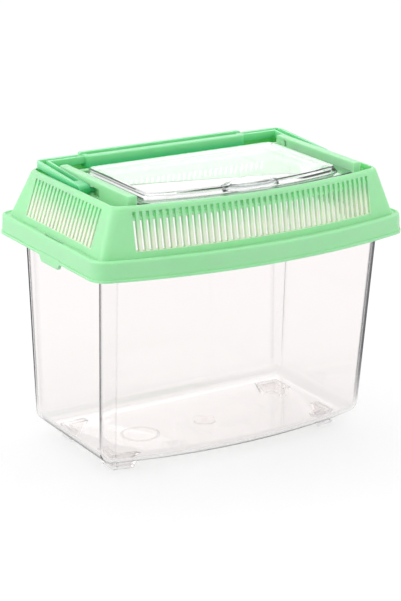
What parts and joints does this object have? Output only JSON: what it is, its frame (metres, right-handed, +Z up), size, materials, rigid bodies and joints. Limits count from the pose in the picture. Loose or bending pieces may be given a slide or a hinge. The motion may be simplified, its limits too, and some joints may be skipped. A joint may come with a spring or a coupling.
{
  "type": "plastic pet keeper",
  "caption": "Small clear plastic tub with a green ventilated lid, a clear hinged hatch in the lid and a folding carrying handle, for keeping small pets or insects.",
  "frame": {"origin": "on the resting plane under the tub's feet, below the middle of the lid's plan", "axes": "+Z up, +X along the long side, to the right when facing the bowed front, -Y towards the bowed front, +Y towards the handle's resting side"},
  "size_m": [0.18, 0.123, 0.1487],
  "materials": {
    "tub_clear": "clear, glossy",
    "lid_green": "satin",
    "hatch_clear": "clear, glossy",
    "handle_green": "satin"
  },
  "bodies": {
    "tub": {"tub": "tub_clear"},
    "lid": {"lid": "lid_green"},
    "hatch": {"hatch": "hatch_clear"},
    "handle": {"handle": "handle_green"}
  },
  "joints": [
    {"name": "lid_lift", "type": "slide", "parent": "tub", "child": "lid", "axis": [0, 0, 1], "range_m": [0, 0.04]},
    {"name": "hatch_hinge", "type": "hinge", "parent": "lid", "child": "hatch", "pos_m": [0, 0.0246, 0.1444], "axis": [-1, 0, 0], "range_deg": [0, 100]},
    {"name": "handle_hinge", "type": "hinge", "parent": "lid", "child": "handle", "pos_m": [0, 0.0015, 0.1421], "axis": [1, 0, 0], "range_deg": [0, 155]}
  ]
}
